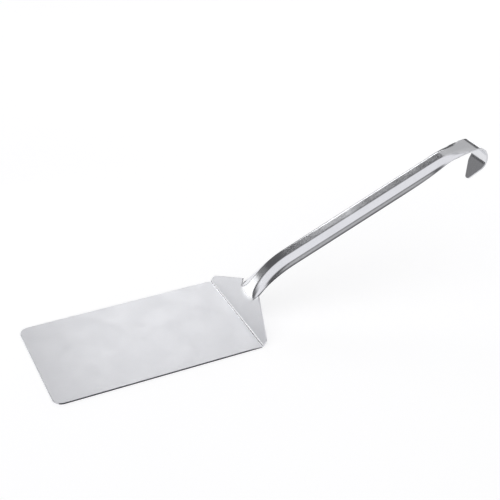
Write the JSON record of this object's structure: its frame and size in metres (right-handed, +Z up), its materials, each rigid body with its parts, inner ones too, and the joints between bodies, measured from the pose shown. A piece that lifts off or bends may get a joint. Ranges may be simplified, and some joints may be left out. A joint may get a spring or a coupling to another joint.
{
  "type": "grill spatula",
  "caption": "Flat rectangular turner blade with an upturned shoulder and a pressed channel handle bent up from it, ending in a hanging hook.",
  "frame": {"origin": "middle of the blade's flat underside, halfway between the front edge and the crease of the heel bend", "axes": "+X from the blade towards the hook, +Y across the blade, +Z up from the surface that the blade rests on"},
  "size_m": [0.3916, 0.1, 0.1082],
  "materials": {
    "satin_steel": "fine satin stainless steel",
    "polished_steel": "polished stainless steel with a faint lengthwise grain",
    "weld_steel": "weld ground flush and satin finished"
  },
  "bodies": {
    "root": {"blade": "satin_steel", "handle": "polished_steel", "neck_weld": "weld_steel"}
  },
  "joints": []
}
